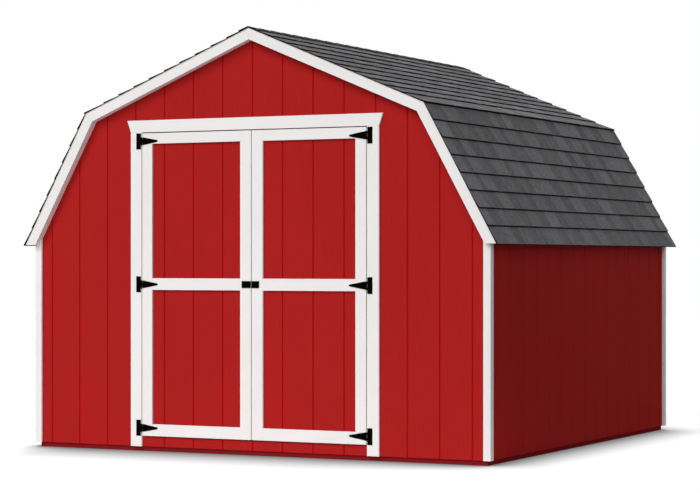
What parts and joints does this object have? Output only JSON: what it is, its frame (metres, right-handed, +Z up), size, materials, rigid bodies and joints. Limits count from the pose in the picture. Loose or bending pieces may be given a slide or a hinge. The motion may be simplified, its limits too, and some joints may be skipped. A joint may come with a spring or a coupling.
{
  "type": "gambrel barn shed",
  "caption": "Small gambrel-roofed barn shed with grooved panel walls, white trim boards, a stepped shingle roof and a double door that swings outwards on tee hinges.",
  "frame": {"origin": "on the ground under the middle of the building", "axes": "+Z up, the doors in the front gable face -Y, the ridge runs along Y"},
  "size_m": [3.2016, 3.16, 2.5501],
  "materials": {
    "red_siding": "satin paint on grooved wood siding",
    "red_rim_paint": "flat paint on rough sawn lumber",
    "white_trim": "satin paint on smooth boards",
    "shingles": "mineral granules on a bitumen mat",
    "plywood": "bare sheet",
    "framing_lumber": "bare planed softwood",
    "black_hardware": "black powder coat on steel"
  },
  "bodies": {
    "shed": {"back_corner_boards": "white_trim", "back_rake_boards": "white_trim", "back_rake_fillers": "white_trim", "back_siding": "red_siding", "door_header_beam": "framing_lumber", "door_header_trim": "white_trim", "door_jamb_trims": "white_trim", "floor_deck": "plywood", "floor_end_rims": "red_rim_paint", "floor_joists": "framing_lumber", "floor_side_rims": "red_rim_paint", "front_corner_boards": "white_trim", "front_rake_boards": "white_trim", "front_rake_fillers": "white_trim", "front_siding_left": "red_siding", "front_siding_over_door": "red_siding", "front_siding_right": "red_siding", "front_siding_under_door": "red_siding", "gable_wall_plates": "framing_lumber", "gable_wall_studs": "framing_lumber", "hinge_plates": "black_hardware", "knee_gussets": "plywood", "left_siding": "red_siding", "lower_rafters": "framing_lumber", "lower_roof_decks": "plywood", "lower_shingles": "shingles", "ridge_board": "framing_lumber", "ridge_cap": "shingles", "right_siding": "red_siding", "side_corner_boards": "white_trim", "side_wall_plates": "framing_lumber", "side_wall_studs": "framing_lumber", "upper_rafters": "framing_lumber", "upper_roof_decks": "plywood", "upper_shingles": "shingles"},
    "left_door": {"left_door_back_frame": "framing_lumber", "left_door_panel": "red_siding", "left_door_trim": "white_trim", "left_hinge_straps": "black_hardware", "left_latch_plate": "black_hardware"},
    "right_door": {"right_door_back_frame": "framing_lumber", "right_door_panel": "red_siding", "right_door_trim": "white_trim", "right_hinge_straps": "black_hardware", "right_latch_plate": "black_hardware"}
  },
  "joints": [
    {"name": "left_door_hinge", "type": "hinge", "parent": "shed", "child": "left_door", "pos_m": [-0.761, -1.545, 1.015], "axis": [0, 0, -1], "range_deg": [0, 165]},
    {"name": "right_door_hinge", "type": "hinge", "parent": "shed", "child": "right_door", "pos_m": [0.761, -1.545, 1.015], "axis": [0, 0, 1], "range_deg": [0, 165]}
  ]
}
